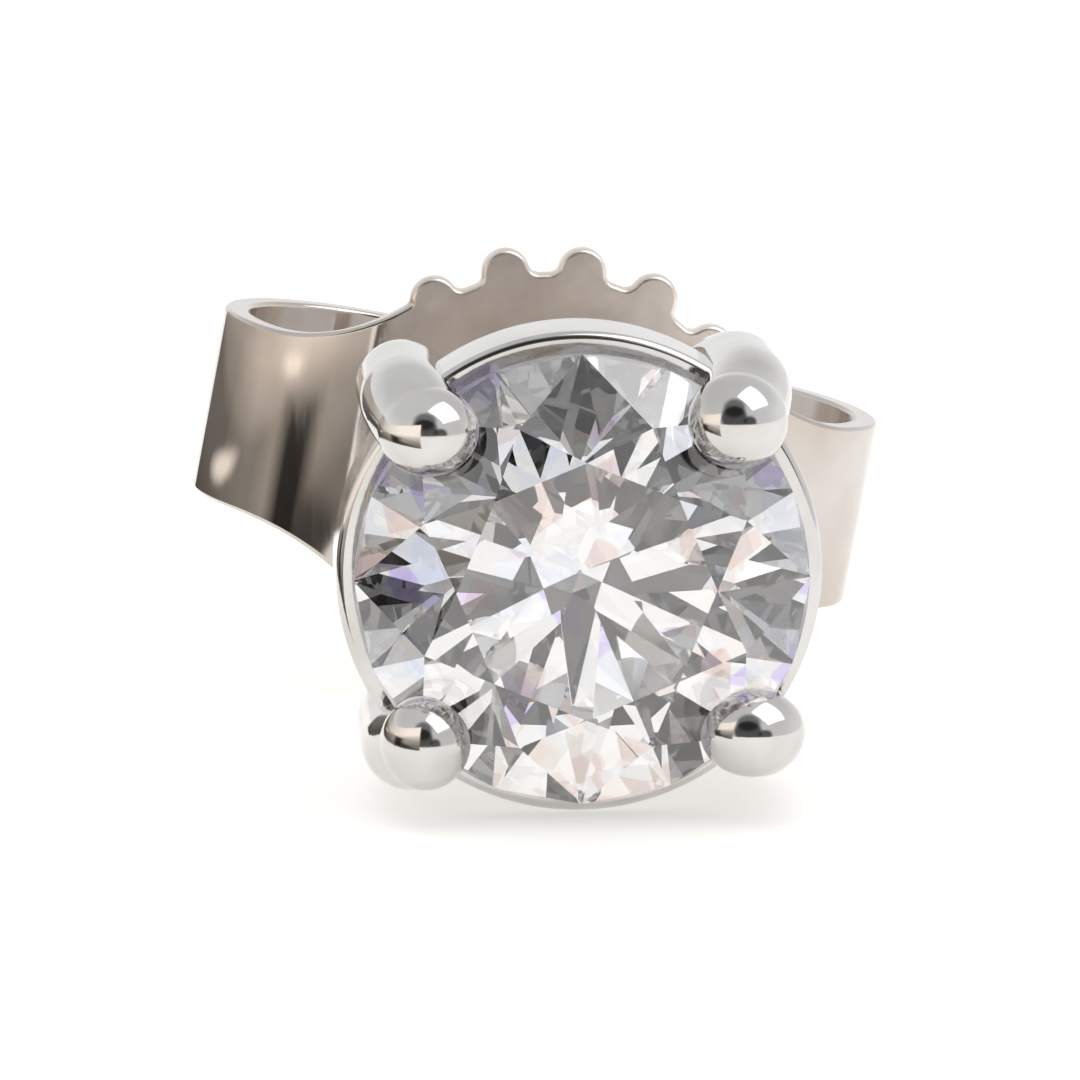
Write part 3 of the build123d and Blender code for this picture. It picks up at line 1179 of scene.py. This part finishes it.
    def stand_backdrop(self, size):
        """Stands the backdrop round the left side, seen only in what the metal reflects, where its
        pattern is painted reflection and shade.
        """
        start = radians(self.backdrop_start)
        low, high = self.backdrop_low * UP, self.backdrop_high * UP
        edge = self.wing_middle - self.backdrop_reach * Vector((sin(start), cos(start), 0))
        deselect()
        bpy.ops.mesh.primitive_plane_add(size=0.1, location=edge + low)
        backdrop = name_piece("side_backdrop")
        open_mesh("VERT")
        bpy.ops.mesh.select_all(action="SELECT")
        bpy.ops.mesh.merge(type="CENTER")
        extrude(high - low)
        bpy.ops.mesh.select_all(action="SELECT")
        spin(36, -radians(self.backdrop_sweep), self.wing_middle, UP)
        close_mesh()
        bring_to_size(backdrop, size)
        backdrop.data.materials.append(self.brown_backdrop(size))
        backdrop.visible_camera = backdrop.visible_shadow = False
        backdrop.visible_diffuse = backdrop.visible_transmission = False

    def place_camera(self, context, size):
        girdle = girdle_centre(size)
        away = self.direction(self.camera_turn, self.camera_lift) * (self.camera_distance * MM)
        bpy.ops.object.camera_add(location=girdle + away)
        camera = context.object
        heading = girdle + self.camera_aim * MM - camera.location
        camera.rotation_euler = heading.to_track_quat("-Z", "Y").to_euler()
        camera.data.lens = self.camera_lens
        camera.data.clip_start = 0.005
        camera.data.clip_end = 5
        context.scene.camera = camera

    def execute(self, context):
        size, finish = chosen(context)
        self.lay_floor(finish)
        self.light_room(context)
        softbox = self.hang_light("softbox", 58, 56, 0.125, finish.softbox_power)
        softbox.visible_diffuse = softbox.visible_transmission = False
        overhead = self.hang_light("overhead", 0, 84, 0.16, finish.overhead_power)
        overhead.visible_glossy = overhead.visible_transmission = False
        self.stand_backdrop(size)
        self.place_camera(context, size)
        scene = context.scene
        scene.view_settings.view_transform = "Standard"
        scene.cycles.max_bounces = 28
        scene.cycles.glossy_bounces = 24
        scene.cycles.transmission_bounces = 24
        scene.cycles.sample_clamp_indirect = 6
        return {"FINISHED"}


# ---- Sidebar ------------------------------------------------------------------------------------
PIECES = (
    EARRING_OT_rail,
    EARRING_OT_prongs,
    EARRING_OT_base_and_post,
    EARRING_OT_butterfly_back,
    EARRING_OT_stone,
    EARRING_OT_stage,
)


class EARRING_PT_sidebar(bpy.types.Panel):
    """Lists the earring's pieces"""

    bl_idname = "EARRING_PT_sidebar"
    bl_label = "Stud Earring"
    bl_space_type = "VIEW_3D"
    bl_region_type = "UI"
    bl_category = "Earring"

    def draw(self, context):
        for piece in PIECES:
            self.layout.operator(piece.bl_idname)
        for group in (context.scene.earring_sizes, context.scene.earring_finishes):
            box = self.layout.box()
            for name in group.__annotations__:
                box.prop(group, name)


CLASSES = (EarringSizes, EarringFinishes, *PIECES, EARRING_PT_sidebar)


def register():
    for kind in CLASSES:
        bpy.utils.register_class(kind)
    bpy.types.Scene.earring_sizes = PointerProperty(type=EarringSizes)
    bpy.types.Scene.earring_finishes = PointerProperty(type=EarringFinishes)


def unregister():
    del bpy.types.Scene.earring_sizes
    del bpy.types.Scene.earring_finishes
    for kind in reversed(CLASSES):
        bpy.utils.unregister_class(kind)


def main():
    register()
    bpy.ops.earring.rail()
    bpy.ops.earring.prongs()
    bpy.ops.earring.base_and_post()
    bpy.ops.earring.butterfly_back()
    bpy.ops.earring.stone()
    bpy.ops.earring.stage()


if __name__ == "__main__":
    main()
